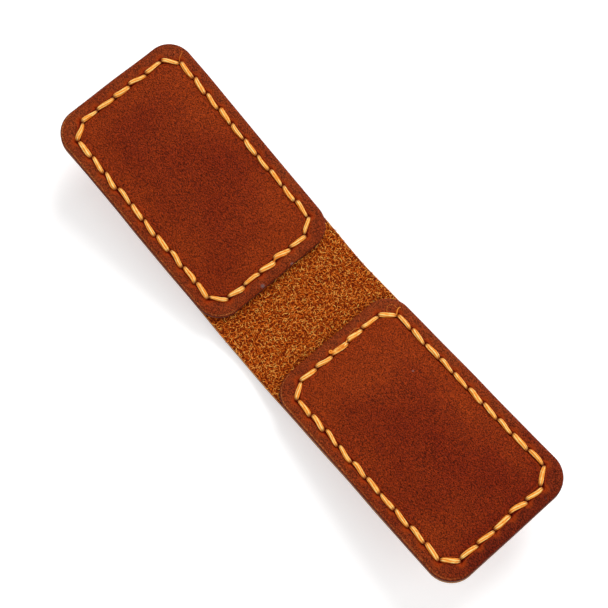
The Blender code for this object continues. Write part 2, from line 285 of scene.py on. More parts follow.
def seam_holes(seed):
    """Awl holes round a pad, anticlockwise from the start of its side at -Y: the pad's own x and y,
    each up to HOLE_STRAY off the marked line, and the direction of the seam there."""
    long_side = np.linspace(-SEAM_RUN_X, SEAM_RUN_X, LONG_SIDE_STITCHES + 1)
    short_side = np.linspace(-SEAM_RUN_Y, SEAM_RUN_Y, SHORT_SIDE_STITCHES + 1)
    end_x, side_y = np.full(len(short_side), SEAM_HALF_X), np.full(len(long_side), SEAM_HALF_Y)
    x = np.concatenate([long_side, end_x, -long_side, -end_x])
    y = np.concatenate([-side_y, short_side, side_y, -short_side])
    before = np.stack([x - np.roll(x, 1), y - np.roll(y, 1)], -1)
    after = np.stack([np.roll(x, -1) - x, np.roll(y, -1) - y], -1)
    before /= np.linalg.norm(before, axis=1)[:, None]
    after /= np.linalg.norm(after, axis=1)[:, None]
    heading = np.arctan2(*(before + after).T[::-1])
    stray = np.random.default_rng(seed).uniform(-HOLE_STRAY, HOLE_STRAY, (len(x), 2))
    return np.stack([x + stray[:, 0], y + stray[:, 1], heading], -1)


PIT_DEPTH, PIT_LENGTH, PIT_WIDTH = 0.5, 0.56, 0.27
DISH_DEPTH, DISH_LENGTH, DISH_WIDTH, DISH_SHIFT = 0.1, 1.1, 0.95, 0.35
GROOVE_DEPTH, GROOVE_WIDTH = 0.12, 0.6
# Painted shade in dark red under and beside the thread: its staining value, and how far from the seam line it
# reaches in millimetres
THREAD_SHADE_AMOUNT, THREAD_SHADE_WIDTH = 0.62, 0.66


def sewn(x, y, holes):
    """At a pad's places x and y, how far sewing presses a face down, how stained and shaded the face is,
    and how far off the seam is. Each hole is a narrow pit across the seam in a shallow dish, and a groove
    runs along the seam, all bell curves. The staining mark is up to 0.5 in a dish, for an orange stain;
    it is 1 in a pit, for painted shade nearly black, and a fixed amount within 0.66 mm of the seam
    line, for painted shade in dark red under and beside the thread."""
    depth, stain_and_shade, seam = np.zeros(x.shape), np.zeros(x.shape), np.full(x.shape, np.inf)
    for (hole_x, hole_y, heading), (next_x, next_y, _) in zip(holes, np.roll(holes, -1, 0)):
        dx, dy = x - hole_x, y - hole_y
        slit = heading - AWL_SLANT
        forward = dx * np.cos(slit) + dy * np.sin(slit)
        sideways = -dx * np.sin(slit) + dy * np.cos(slit)
        pit = np.exp(-((forward / PIT_WIDTH) ** 2) - (sideways / PIT_LENGTH) ** 2)
        round_about = np.hypot(forward / DISH_WIDTH, (sideways + DISH_SHIFT) / DISH_LENGTH)
        depth = np.maximum(depth, PIT_DEPTH * pit + DISH_DEPTH * np.exp(-(round_about**2)))
        stain_and_shade = np.maximum(stain_and_shade, np.maximum(pit, 0.5 * np.exp(-(round_about**3))))
        run = np.array([next_x - hole_x, next_y - hole_y])
        share = np.clip((dx * run[0] + dy * run[1]) / (run @ run), 0, 1)
        seam = np.minimum(seam, np.hypot(dx - share * run[0], dy - share * run[1]))
    stain_and_shade = np.maximum(stain_and_shade, THREAD_SHADE_AMOUNT * np.exp(-((seam / THREAD_SHADE_WIDTH) ** 8)))
    return depth + GROOVE_DEPTH * np.exp(-((seam / GROOVE_WIDTH) ** 2)), stain_and_shade, seam


FLESH_DROP, FLESH_ROUGHNESS = 0.13, 0.07


def flesh_height(along, across):
    """The raw flesh side under its loose fibres: lumps of 0.36 mm and of 0.2 mm, half of each."""
    rough = 0.5 * hills(along / 0.36 + 80, across / 0.36 + 80, 31)
    rough += 0.5 * hills(along / 0.2 + 80, across / 0.2 + 80, 32)
    return STRAP_HALF_THICKNESS - FLESH_DROP + FLESH_ROUGHNESS * rough


def grain_side_height(along, across, heading):
    """The strap's smooth outer face, one hide from end to end."""
    grain = grain_height(heading * along + 90, heading * across + 90, 41)
    return -STRAP_HALF_THICKNESS - grain


# Loose fibres of the flesh side, in millimetres, each pair the least and the most. Real ones are finer
# and closer: these are as coarse as they need to be to show one by one.
FIBRE_SPACING, FIBRE_FREE_EDGE, FIBRE_TUCK = 0.31, 0.25, 0.1
FIBRE_HALF_LENGTH, FIBRE_HALF_WIDTH = (0.24, 0.6), (0.045, 0.075)
FIBRE_BEND, FIBRE_LIFT = (-0.42, 0.42), (0.06, 0.3)


def lay_fibres(skin, start, end, heading, seed):
    """Covers the bare flesh side with fibres: short arched strands, each five rings of four points, of
    random heading, bend and tone. Their middles lie from start to end, one at random in each square of
    a grid, and outside the patch but for a little tuck. Height and bend fall as 1 - share^2."""
    random = np.random.default_rng(seed)
    reach = STRAP_HALF_WIDTH - FIBRE_FREE_EDGE
    shape = (int((end - start) / FIBRE_SPACING), int(2 * reach / FIBRE_SPACING))
    along, across = np.meshgrid(np.arange(shape[0]), np.arange(shape[1]), indexing="ij")
    along = start + (end - start) * (along + random.uniform(0, 1, shape)).ravel() / shape[0]
    across = reach * (2 * (across + random.uniform(0, 1, shape)).ravel() / shape[1] - 1)
    corner_x = np.maximum(PAD_START + CORNER_RADIUS - along, 0)
    corner_y = np.maximum(np.abs(across) - STRAIGHT_HALF, 0)
    bare = np.hypot(corner_x, corner_y) > CORNER_RADIUS - FIBRE_TUCK
    bare |= along < PAD_START - FIBRE_TUCK
    bare &= along < PAD_START + CORNER_RADIUS
    along, across = along[bare, None], across[bare, None]
    count = len(along)
    turn = random.uniform(0, 2 * np.pi, (count, 1))
    half_length = random.uniform(*FIBRE_HALF_LENGTH, (count, 1))
    half_width = random.uniform(*FIBRE_HALF_WIDTH, (count, 1))
    bend = random.uniform(*FIBRE_BEND, (count, 1))
    lift = random.uniform(*FIBRE_LIFT, (count, 1))
    tone = random.uniform(0, 1, (count, 1))
    share = np.array([-1, -0.6, 0, 0.6, 1])[None, :]
    bow = bend * (1 - share**2)
    x = along + half_length * share * np.cos(turn) - bow * np.sin(turn)
    y = across + half_length * share * np.sin(turn) + bow * np.cos(turn)
    z = flesh_height(heading * x, heading * y) + lift * (1 - share**2) - 0.05 * share**2
    width = half_width * np.sqrt(1 - 0.8 * share**2)
    side = np.array([1, 0, -1, 0])
    top = np.array([0, 0.8, 0, -0.8])
    ring_x = x[..., None] - (width * np.sin(turn))[..., None] * side
    ring_y = y[..., None] + (width * np.cos(turn))[..., None] * side
    ring_z = z[..., None] + width[..., None] * top
    # Painted shade and painted highlight: tip is 0.2 at a fibre's ends and rises at the top of its arch, most on
    # the highest fibres, for dark ends and pale tops
    tip = (0.2 + 0.8 * (1 - share**2) * (lift / FIBRE_LIFT[1]))[..., None]
    points = skin.add(ring_x, ring_y, ring_z, (tip, tone[..., None], 0))
    following = np.roll(points, -1, -1)
    quads = [points[:, :-1], points[:, 1:], following[:, 1:], following[:, :-1]]
    skin.face(np.stack(quads[::-1], -1), NAP)
    skin.face(points[:, 0], NAP)
    skin.face(points[:, -1, ::-1], NAP)


# The strap's marks: how far its outer face is pulled, and tip and strand on its bare flesh face
OUTER_PULL = 0.4
# Tip 0 gives the bare flesh face a dark colour, painted shade between the fibres
BARE_FLESH = (0, 0.5, 0)
STRAP_WARP_SEED = 51


def band_piece(name, start, end, heading, finishes, seed):
    """A closed length of bare strap: grain face below, flesh face above, cut edges and square ends."""

    def grid(inset):
        """Flat places over this length of strap, drawn in by inset at its sides."""
        return round_corner_grid(lines(start, end, BARE_STEP), across_lines, CORNER_RADIUS - inset)

    skin = Skin()
    x, y = grid(GRAIN_INSET)
    below = skin.add(x, y, grain_side_height(x, y, heading), (0, 0, OUTER_PULL))
    x, y = grid(FLESH_INSET)
    above = skin.add(x, y, flesh_height(heading * x, heading * y), BARE_FLESH)
    skin.net(below, GRAIN, under=True)
    skin.net(above, NAP)
    skin.wall(skin.rim(border(below), STRAP_RIM, grid), border(above), EDGE)
    lay_fibres(skin, start, end, heading, seed)
    return skin.made(name, finishes, heading, STRAP_WARP_SEED)


# How far below the strap's upper face the flat face under the patch lies
HIDDEN_DROP = 0.09


def strap_end_piece(name, heading, holes, finishes, seed):
    """The closed end of the strap under a pad: the sewn grain face below, the cut edge round it, and
    the flesh face above, which is rough where the patch leaves it bare and one flat face under it."""
    step_change, corner = PAD_START + 5, STRAP_REACH - CORNER_RADIUS
    rows = joined_lines(
        lines(BEND_END, step_change, BARE_STEP),
        tuple(part[1:] for part in lines(step_change, corner, FINE_STEP)),
        corner_lines(corner, 1),
    )

    def grid(inset):
        """Flat places over this end of the strap, drawn in by inset."""
        return round_corner_grid(rows, across_lines, CORNER_RADIUS - inset)

    skin = Skin()
    x, y = grid(GRAIN_INSET)
    depth, stain_and_shade, _ = sewn(x - PAD_CENTRE, y, holes)
    below = skin.add(x, y, grain_side_height(x, y, heading) + depth, (stain_and_shade, 0, OUTER_PULL))
    bare_rows = int(np.sum(rows[0] <= PAD_START + CORNER_RADIUS + 0.3))
    flesh = grid(FLESH_INSET)
    x, y = (part[:bare_rows] for part in flesh)
    above = skin.add(x, y, flesh_height(heading * x, heading * y), BARE_FLESH)
    skin.net(below, GRAIN, under=True)
    skin.net(above, NAP)
    loop = skin.rim(border(below), STRAP_RIM, grid)
    x, y = flesh
    numbers = np.full(x.shape, -1)
    numbers[:bare_rows] = above
    outer = border(numbers)
    edge_x, edge_y = border(x), border(y)
    hidden = outer < 0
    outer[hidden] = skin.add(edge_x[hidden], edge_y[hidden], STRAP_HALF_THICKNESS - HIDDEN_DROP)
    skin.wall(loop, outer, EDGE)
    cover = np.roll(outer, -int(np.argmax(hidden)))[: int(hidden.sum())]
    skin.face(np.concatenate([cover, above[-1, ::-1]])[None, :], NAP)
    lay_fibres(skin, BEND_END, PAD_START + CORNER_RADIUS, heading, seed)
    return skin.made(name, finishes, heading, STRAP_WARP_SEED)


def linear(code):
    """An sRGB hex colour as linear red, green, blue and 1, by the sRGB curve."""
    value = np.array([int(code[i : i + 2], 16) for i in (1, 3, 5)]) / 255
    value = np.where(value <= 0.04045, value / 12.92, ((value + 0.055) / 1.055) ** 2.4)
    return (*value.tolist(), 1.0)


def add_node(material, kind, inputs=(), stops=(), **settings):
    """Adds a node: settings are its properties, inputs maps sockets to values or to other sockets, and
    stops are a ramp's (place, colour) pairs."""
    made = material.node_tree.nodes.new(kind)
    for name, value in settings.items():
        setattr(made, name, value)
    for name, value in dict(inputs).items():
        if isinstance(value, bpy.types.NodeSocket):
            material.node_tree.links.new(value, made.inputs[name])
        else:
            made.inputs[name].default_value = value
    for number, (place, colour) in enumerate(stops):
        ramp = made.color_ramp.elements
        stop = ramp[number] if number < 2 else ramp.new(place)
        stop.position, stop.color = place, linear(colour)
    return made


def new_material(name, **shader_values):
    """An empty material with one shader, whose constant sockets are set here."""
    material = bpy.data.materials.new(name)
    material.use_nodes = True
    shader = material.node_tree.nodes["Principled BSDF"]
    for socket, value in shader_values.items():
        shader.inputs[socket.replace("_", " ")].default_value = value
    return material, shader


def grain_leather():
    """Pull-up cowhide, oiled and lightly buffed: red-brown with a satin gloss, paler and more orange
    where it is pulled and where a painted highlight lies beside the seam and along one rolled edge, tan
    where its rim is burnished, with painted shade in the wrinkles of its fine grain and a painted
    highlight between them, and stained orange towards the holes, with painted shade nearly black in
    the pits and dark red along the thread. Below 0 its staining mark is a grey scuff."""
    material, shader = new_material(
        "oiled pull-up leather", Roughness=0.5, IOR=1.48, Specular_IOR_Level=0.06
    )
    hide = add_node(material, "ShaderNodeAttribute", attribute_name="hide").outputs["Vector"]
    marks = add_node(material, "ShaderNodeAttribute", attribute_name="marks").outputs["Vector"]
    stain_and_shade, rim, pull = add_node(material, "ShaderNodeSeparateXYZ", {0: marks}).outputs
    # Cloudy tone over about 12 mm, and flecks of 1.6 mm
    clouds = add_node(
        material,
        "ShaderNodeTexNoise",
        {"Vector": hide, "Scale": 1 / 12, "Detail": 4, "Roughness": 0.55},
    ).outputs[0]
    flecks = add_node(
        material,
        "ShaderNodeTexNoise",
        {"Vector": hide, "Scale": 1 / 1.6, "Detail": 3, "Roughness": 0.6},
    ).outputs[0]
    # Pebbles of 0.36 mm and wrinkles of 0.17 mm, 1.6 times as long on one diagonal. Real wrinkles are
    # finer: these are as coarse as they need to be to show.
    turned = add_node(
        material,
        "ShaderNodeMapping",
        {"Vector": hide, "Rotation": (0, 0, np.radians(-37)), "Scale": (0.62, 1, 1)},
    ).outputs[0]
    pebbles = add_node(
        material,
        "ShaderNodeTexVoronoi",
        {"Vector": turned, "Scale": 1 / 0.36, "Randomness": 0.9},
        feature="F1",
    ).outputs["Distance"]
    wrinkles = add_node(
        material,
        "ShaderNodeTexNoise",
        {"Vector": turned, "Scale": 1 / 0.17, "Detail": 1, "Distortion": 0.3},
    ).outputs[0]
    tone = 0.105
    for source, share in ((clouds, 0.45), (flecks, 0.14), (pull, 0.4)):
        tone = add_node(
            material, "ShaderNodeMath", {0: source, 1: share, 2: tone}, operation="MULTIPLY_ADD"
        ).outputs[0]
    body = add_node(
        material,
        "ShaderNodeValToRGB",
        {0: tone},
        ((0.25, "#5f1704"), (0.5, "#732006"), (0.75, "#8a310a")),
    ).outputs[0]
    burnished = add_node(
        material,
        "ShaderNodeValToRGB",
        {0: tone},
        ((0.2, "#601908"), (0.5, "#792b0e"), (0.7, "#853815"), (1.0, "#b8703a")),
    ).outputs[0]
    body = add_node(
        material, "ShaderNodeMix", {0: rim, 6: body, 7: burnished}, data_type="RGBA"
    ).outputs[2]
    # Painted shade and painted highlight of the fine grain: the colour is multiplied by 0.35 where the wrinkle
    # relief is low, up to 1.71 where it is high
    grain_shade_and_highlight = add_node(
        material, "ShaderNodeMapRange", {0: wrinkles, 1: 0.34, 2: 0.66, 3: 0.35, 4: 1.71}
    ).outputs[0]
    body = add_node(
        material,
        "ShaderNodeMix",
        {0: 1.0, 6: body, 7: grain_shade_and_highlight},
        data_type="RGBA",
        blend_type="MULTIPLY",
    ).outputs[2]
    # Orange staining round the holes; painted shade, dark red along the thread and nearly black in the pits
    halo_and_shade = add_node(
        material,
        "ShaderNodeValToRGB",
        {0: stain_and_shade},
        ((0.0, "#a8440e"), (0.42, "#a4380a"), (0.62, "#6a1202"), (0.9, "#220200")),
    ).outputs[0]
    spread = add_node(material, "ShaderNodeMapRange", {0: stain_and_shade, 1: 0.05, 2: 0.45}).outputs[0]
    body = add_node(
        material, "ShaderNodeMix", {0: spread, 6: body, 7: halo_and_shade}, data_type="RGBA"
    ).outputs[2]
    scuff = add_node(material, "ShaderNodeMapRange", {0: stain_and_shade, 1: -0.15, 2: -0.8, 4: 0.8}).outputs[0]
    body = add_node(
        material, "ShaderNodeMix", {0: scuff, 6: body, 7: linear("#84716e")}, data_type="RGBA"
    ).outputs[2]
    gloss = add_node(
        material, "ShaderNodeMapRange", {0: flecks, 1: 0.3, 2: 0.7, 3: 0.44, 4: 0.6}
    ).outputs[0]
    relief = add_node(
        material, "ShaderNodeMath", {0: pebbles, 1: -0.9, 2: wrinkles}, operation="MULTIPLY_ADD"
    ).outputs[0]
    bump = add_node(
        material, "ShaderNodeBump", {"Height": relief, "Strength": 1.0, "Distance": 0.2 * MM}
    ).outputs[0]
    links = material.node_tree.links
    links.new(body, shader.inputs["Base Color"])
    links.new(gloss, shader.inputs["Roughness"])
    links.new(bump, shader.inputs["Normal"])
    return material


def cut_edge(name, low, high, colours):
    """Vegetable-tanned leather cut through: matt packed fibre in fine layers, tan towards the flesh
    side and dark with finish at the grain side. low and high are the heights of its two faces."""
    material, shader = new_material(name, Roughness=0.85, IOR=1.45)
    hide = add_node(material, "ShaderNodeAttribute", attribute_name="hide").outputs["Vector"]
    height = add_node(material, "ShaderNodeSeparateXYZ", {0: hide}).outputs[2]
    # Fibre layers 0.13 mm thick and 0.9 mm long
    layers = add_node(material, "ShaderNodeMapping", {"Vector": hide, "Scale": (1, 1, 7)}).outputs[0]
    fibre = add_node(
        material, "ShaderNodeTexNoise", {"Vector": layers, "Scale": 1.1, "Detail": 4, "Roughness": 0.65}
    ).outputs[0]
    place = add_node(material, "ShaderNodeMapRange", {0: height, 1: low, 2: high}).outputs[0]
    place = add_node(
        material, "ShaderNodeMath", {0: fibre, 1: 0.5, 2: place}, operation="MULTIPLY_ADD"
    ).outputs[0]
    place = add_node(
        material, "ShaderNodeMath", {0: place, 1: 0.25}, operation="SUBTRACT"
    ).outputs[0]
    body = add_node(material, "ShaderNodeValToRGB", {0: place}, colours).outputs[0]
    bump = add_node(
        material, "ShaderNodeBump", {"Height": fibre, "Strength": 0.6, "Distance": 0.06 * MM}
    ).outputs[0]
    links = material.node_tree.links
    links.new(body, shader.inputs["Base Color"])
    links.new(bump, shader.inputs["Normal"])
    return material


def flesh_side():
    """The unfinished flesh side, torn up to a short nap: matt, with painted shade, dark, on the flesh
    between the fibres and at the fibres' ends, and a painted highlight, pale tan, on the tops of the
    palest and highest ones, with a faint sheen at low angles. Its marks are how far up a fibre is and
    the fibre's own tone."""
    material, shader = new_material(
        "suede flesh side", Roughness=0.95, IOR=1.4, Specular_IOR_Level=0.1, Sheen_Weight=0.04
    )
    hide = add_node(material, "ShaderNodeAttribute", attribute_name="hide").outputs["Vector"]
    marks = add_node(material, "ShaderNodeAttribute", attribute_name="marks").outputs["Vector"]
    tip, strand, _ = add_node(material, "ShaderNodeSeparateXYZ", {0: marks}).outputs
    # Patches of longer and shorter nap, about 4 mm across, and single fibres of 0.2 mm
    patches = add_node(
        material, "ShaderNodeTexNoise", {"Vector": hide, "Scale": 1 / 4, "Detail": 3, "Roughness": 0.6}
    ).outputs[0]
    fibre = add_node(
        material, "ShaderNodeTexNoise", {"Vector": hide, "Scale": 1 / 0.2, "Detail": 2}
    ).outputs[0]
    tone = -0.21
    for source, share in ((tip, 0.55), (strand, 0.42), (patches, 0.1), (fibre, 0.34)):
        tone = add_node(
            material, "ShaderNodeMath", {0: source, 1: share, 2: tone}, operation="MULTIPLY_ADD"
        ).outputs[0]
    # Painted shade, near black, where tip is low and a painted highlight, pale tan, where it is high
    body = add_node(
        material,
        "ShaderNodeValToRGB",
        {0: tone},
        ((0.13, "#320600"), (0.36, "#a43b08"), (0.6, "#e87016"), (0.93, "#ffc860")),
    ).outputs[0]
    bump = add_node(
        material, "ShaderNodeBump", {"Height": fibre, "Strength": 0.5, "Distance": 0.08 * MM}
    ).outputs[0]
    links = material.node_tree.links
    links.new(body, shader.inputs["Base Color"])
    links.new(bump, shader.inputs["Normal"])
    return material


leather = grain_leather()
suede = flesh_side()
strap_edge = cut_edge(
    "cut strap edge",
    -STRAP_HALF_THICKNESS,
    STRAP_HALF_THICKNESS,
    ((0.0, "#4a1a0b"), (0.3, "#7a431c"), (0.75, "#a9713a"), (1.0, "#c08a4c")),
)
strap_finishes = (leather, strap_edge, suede)

hole_sets = {"a": seam_holes(61), "b": seam_holes(62)}
middle = BEND_END / 2
for side, heading in HEADINGS.items():
    inner = band_piece(f"strap_bend_{side}_1", 0, middle, heading, strap_finishes, 70 + heading)
    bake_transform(inner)
    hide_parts("strap_middle", f"strap_fold_{side}_1")
    outer = band_piece(f"strap_bend_{side}_2", middle, BEND_END, heading, strap_finishes, 80 + heading)
    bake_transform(outer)
    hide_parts(f"strap_fold_{side}_1")
    end = strap_end_piece(f"strap_pad_{side}", heading, hole_sets[side], strap_finishes, 90 + heading)
    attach(end, f"pad_{side}")
    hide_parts(f"strap_end_{side}")

# --- Magnets and their boards ----------------------------------------------------------------------
# Three flat neodymium magnets lie in the windows of a die-cut grey board in each pad. The magnets are
# pressed, ground and nickel-plated, and nothing holds them but the board and the glued leather.


def grey_board():
    """Pulp board, pressed from waste paper: matt grey, flecked, with a faint lie of the fibres."""
    material, shader = new_material("grey pulp board", Roughness=0.92, IOR=1.45)
    place = add_node(material, "ShaderNodeTexCoord").outputs["Object"]
    # Paper fibres about 1 mm long and 0.3 mm wide
    laid = add_node(material, "ShaderNodeMapping", {"Vector": place, "Scale": (0.3, 1, 1)}).outputs[0]
    fibre = add_node(
        material, "ShaderNodeTexNoise", {"Vector": laid, "Scale": 1 / (0.3 * MM), "Detail": 4}
    ).outputs[0]
    body = add_node(
        material,
        "ShaderNodeValToRGB",
        {0: fibre},
        ((0.3, "#6f6a62"), (0.55, "#8f8a80"), (0.8, "#aaa498")),
    ).outputs[0]
    bump = add_node(
        material, "ShaderNodeBump", {"Height": fibre, "Strength": 0.4, "Distance": 0.03 * MM}
    ).outputs[0]
    material.node_tree.links.new(body, shader.inputs["Base Color"])
    material.node_tree.links.new(bump, shader.inputs["Normal"])
    return material


def nickel_plate():
    """Barrel-plated nickel on a ground magnet: a warm satin mirror with fine tumbling marks."""
    material, shader = new_material("satin nickel plate", Metallic=1.0, Roughness=0.28)
    place = add_node(material, "ShaderNodeTexCoord").outputs["Object"]
    # Tumbling marks about 0.4 mm apart
    marks = add_node(
        material,
        "ShaderNodeTexNoise",
        {"Vector": place, "Scale": 1 / (0.4 * MM), "Detail": 6, "Roughness": 0.7},
    ).outputs[0]
    body = add_node(
        material, "ShaderNodeValToRGB", {0: marks}, ((0.3, "#b6b0a3"), (0.7, "#cbc6ba"))
    ).outputs[0]
    gloss = add_node(
        material, "ShaderNodeMapRange", {0: marks, 1: 0.3, 2: 0.7, 3: 0.22, 4: 0.38}
    ).outputs[0]
    material.node_tree.links.new(body, shader.inputs["Base Color"])
    material.node_tree.links.new(gloss, shader.inputs["Roughness"])
    return material


board, nickel = grey_board(), nickel_plate()
for name, cad_node in frame["nodes"].items():
    if name.startswith("magnet"):
        cad_node.material_slots[0].material = board if "board" in name else nickel

# --- Patches ---------------------------------------------------------------------------------------
# A second piece of the same leather on each strap end, grain side up, glued down and pressed over the
# magnets while damp, so that it stands a little proud in the middle. Its edges are rounded and rubbed.

PATCH_BOTTOM, PATCH_TOP = 0.9, 2.5
# The raised middle, by its height and by where its shoulder starts and ends in from the outline
PLATEAU_RISE = 0.66
SHOULDER_FOOT, SHOULDER_TOP = 3.3, 11.5
ROLL_DEPTH, ROLL_REACH = 0.36, 1.1
# How much paler a painted highlight makes the leather beside the seam and along the rolled edge at -Y, and where
# and how widely
SEAM_MARGIN, SEAM_HIGHLIGHT_AMOUNT, SEAM_HIGHLIGHT_REACH = 2.9, 0.2, 2.4
EDGE_HIGHLIGHT_MARGIN, EDGE_HIGHLIGHT_AMOUNT, EDGE_HIGHLIGHT_REACH = 0.42, 0.7, 0.13
PATCH_HALF_X, PATCH_HALF_Y = PAD_LENGTH / 2, STRAP_HALF_WIDTH
PATCH_TOP_INSET = 0.22
# Profile of the rubbed edge as (inset, height), and the pocket for the magnets
PATCH_RIM = ((0.16, 0.9), (0.05, 1.02), (0.0, 1.3), (0.01, 1.7), (0.03, 1.95), (0.1, 2.12))
POCKET_MARGIN, POCKET_RADIUS, POCKET_CEILING = 5.7, 0.9, 2.0

# Tone of each pad, seen from above: (x, y, reach in mm, amount), positive where it is paler
TONES = {
    "a": (
        (13, 6, 9, -0.12), (-19, 0, 9, 0.2), (18, -9, 7, 0.2), (-5, -2, 8, -0.25),
        (-15, -9, 7, 0.1), (10, -10, 6, 0.15), (2, 10, 5, 0.1),
    ),
    "b": (
        (4, -3, 13, -0.26), (-18, 8, 9, 0.35), (-15, -3, 7, 0.1), (17, -8, 7, 0.2),
        (-3, 11, 8, 0.2), (28, 7, 8, -0.8), (28, -7, 8, -0.8),
    ),
}
# Marks of handling, in the same order: the amount is positive for a pricked hole, which is pressed in
# by PRICK_DEPTH, and negative for a grey scuff
PRICK_DEPTH = 0.25
SCRATCHES = {
    "a": ((-21.4, 2.2, 0.22, 1.0), (-24.9, 3.2, 0.45, -0.8), (-25.3, -4.2, 0.4, -0.7)),
    "b": ((-9.4, 7.4, 0.2, -0.9), (24.6, 9.0, 0.3, -0.3)),
}


def edge_margin(x, y):
    """Distance in from a patch's outline: the radius, less the distance past the corner's centre."""
    past_x, past_y = np.abs(x) - PATCH_HALF_X + CORNER_RADIUS, np.abs(y) - STRAIGHT_HALF
    outside = np.hypot(np.maximum(past_x, 0), np.maximum(past_y, 0))
    return CORNER_RADIUS - outside - np.minimum(np.maximum(past_x, past_y), 0)


def patch_face(x, y, side, holes):
    """Height and marks of a patch's grain face. The shoulder rises by smoothstep of the margin, the
    edge rolls down by the square of the distance within ROLL_REACH of it, and sewing presses it in.
    The marks are staining with painted shade from the sewing, rim (burnished outside the seam) and pull,
    which follows the bell curves of TONES and is raised by a painted highlight on the shoulder beside
    the seam and along the rolled edge at -Y."""
    seed = {"a": 110, "b": 120}[side]
    margin = edge_margin(x, y)
    depth, stain_and_shade, seam = sewn(x, y, holes)
    height = PATCH_TOP + PLATEAU_RISE * smooth(SHOULDER_FOOT, SHOULDER_TOP, margin)
    height -= ROLL_DEPTH * np.maximum(1 - margin / ROLL_REACH, 0) ** 2
    height += grain_height(x + 90, y + 90, seed) - depth
    inside = margin > SEAM_MARGIN
    rim = smooth(0.1, 1.3, seam) * ~inside * (0.75 + 0.25 * hills(x / 3 + 9, y / 3 + 9, seed))
    # Painted highlight on the shoulder just inside the seam
    pull = 0.5 + SEAM_HIGHLIGHT_AMOUNT * np.exp(-(((seam - SEAM_HIGHLIGHT_REACH) / SEAM_HIGHLIGHT_REACH) ** 2)) * inside
    # Painted highlight: a pale line along the rolled edge on the side at -Y, which faces the camera
    lit_edge = HEADINGS[side] * y < -STRAIGHT_HALF
    pull = pull + EDGE_HIGHLIGHT_AMOUNT * lit_edge * np.exp(-(((margin - EDGE_HIGHLIGHT_MARGIN) / EDGE_HIGHLIGHT_REACH) ** 2))
    for spot_x, spot_y, reach, amount in TONES[side]:
        pull = pull + amount * np.exp(-((x - spot_x) ** 2 + (y - spot_y) ** 2) / reach**2)
    for spot_x, spot_y, reach, amount in SCRATCHES[side]:
        spot = np.exp(-((x - spot_x) ** 2 + (y - spot_y) ** 2) / reach**2)
        stain_and_shade = stain_and_shade + amount * spot
        height = height - PRICK_DEPTH * max(amount, 0) * spot
    return height, (stain_and_shade, rim, pull)


# The patch's cut edge darkens towards its grain side: partly its finish, partly painted shade for the dark line
# along the patch's edge
shaded_patch_edge = cut_edge(
    "rubbed patch edge with painted shade",
    PATCH_BOTTOM,
    PATCH_TOP,
    ((0.0, "#8a5526"), (0.3, "#70391a"), (0.6, "#4a1c0c"), (1.0, "#3f1408")),
)
patch_rows = joined_lines(
    tuple(part[::-1] for part in corner_lines(-PATCH_HALF_X + CORNER_RADIUS, -1)),
    lines(-PATCH_HALF_X + CORNER_RADIUS, PATCH_HALF_X - CORNER_RADIUS, FINE_STEP),
    corner_lines(PATCH_HALF_X - CORNER_RADIUS, 1),
)
pocket_half = np.array([PATCH_HALF_X, PATCH_HALF_Y]) - POCKET_MARGIN - POCKET_RADIUS
pocket_shrink = pocket_half / np.array([PATCH_HALF_X - CORNER_RADIUS, STRAIGHT_HALF])


def patch_grid(inset):
    """Flat places over a whole patch, drawn in by inset."""
    x, y = round_corner_grid(patch_rows, across_lines, CORNER_RADIUS - inset)
    return PAD_CENTRE + x, y


for side, heading in HEADINGS.items():
    skin = Skin()
    pocket = round_corner_grid(patch_rows, across_lines, POCKET_RADIUS, pocket_shrink)
    x, y = (border(part) for part in pocket)
    ceiling = skin.add(PAD_CENTRE + x, y, POCKET_CEILING)
    skin.face(ceiling[None, ::-1], EDGE)
    mouth = skin.add(PAD_CENTRE + x, y, PATCH_BOTTOM)
    skin.wall(ceiling, mouth, EDGE)
    loop = skin.rim(mouth, PATCH_RIM, patch_grid)
    x, y = round_corner_grid(patch_rows, across_lines, CORNER_RADIUS - PATCH_TOP_INSET)
    height, marks = patch_face(x, y, side, hole_sets[side])
    face = skin.add(PAD_CENTRE + x, y, height, marks)
    skin.wall(loop, border(face), GRAIN)
    skin.net(face, GRAIN)
    patch = skin.made(f"patch_leather_{side}", (leather, shaded_patch_edge), heading, 130 + heading)
    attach(patch, f"pad_{side}")
    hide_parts(f"patch_{side}")

# --- Stitching -------------------------------------------------------------------------------------
# Saddle stitch in golden waxed thread, about 1 mm, braided flat. Two needles pass each awl hole, so
# both faces show the same row, and each stitch swells between its holes and dives into them.

STITCH_HALF_WIDTH, STITCH_HALF_HEIGHT = 0.45, 0.27
STRANDS = 5
RINGS, POINTS_ROUND = 13, 28
# How far a stitch reaches past its holes, stands up in the middle, and sinks from there at its ends
OVERRUN, CREST, DIVE = 0.1, 0.16, 0.55
# How deep the middle of a row sits in the leather, and the thread's place in the list of materials
SEAT = 0.06
THREAD = 0


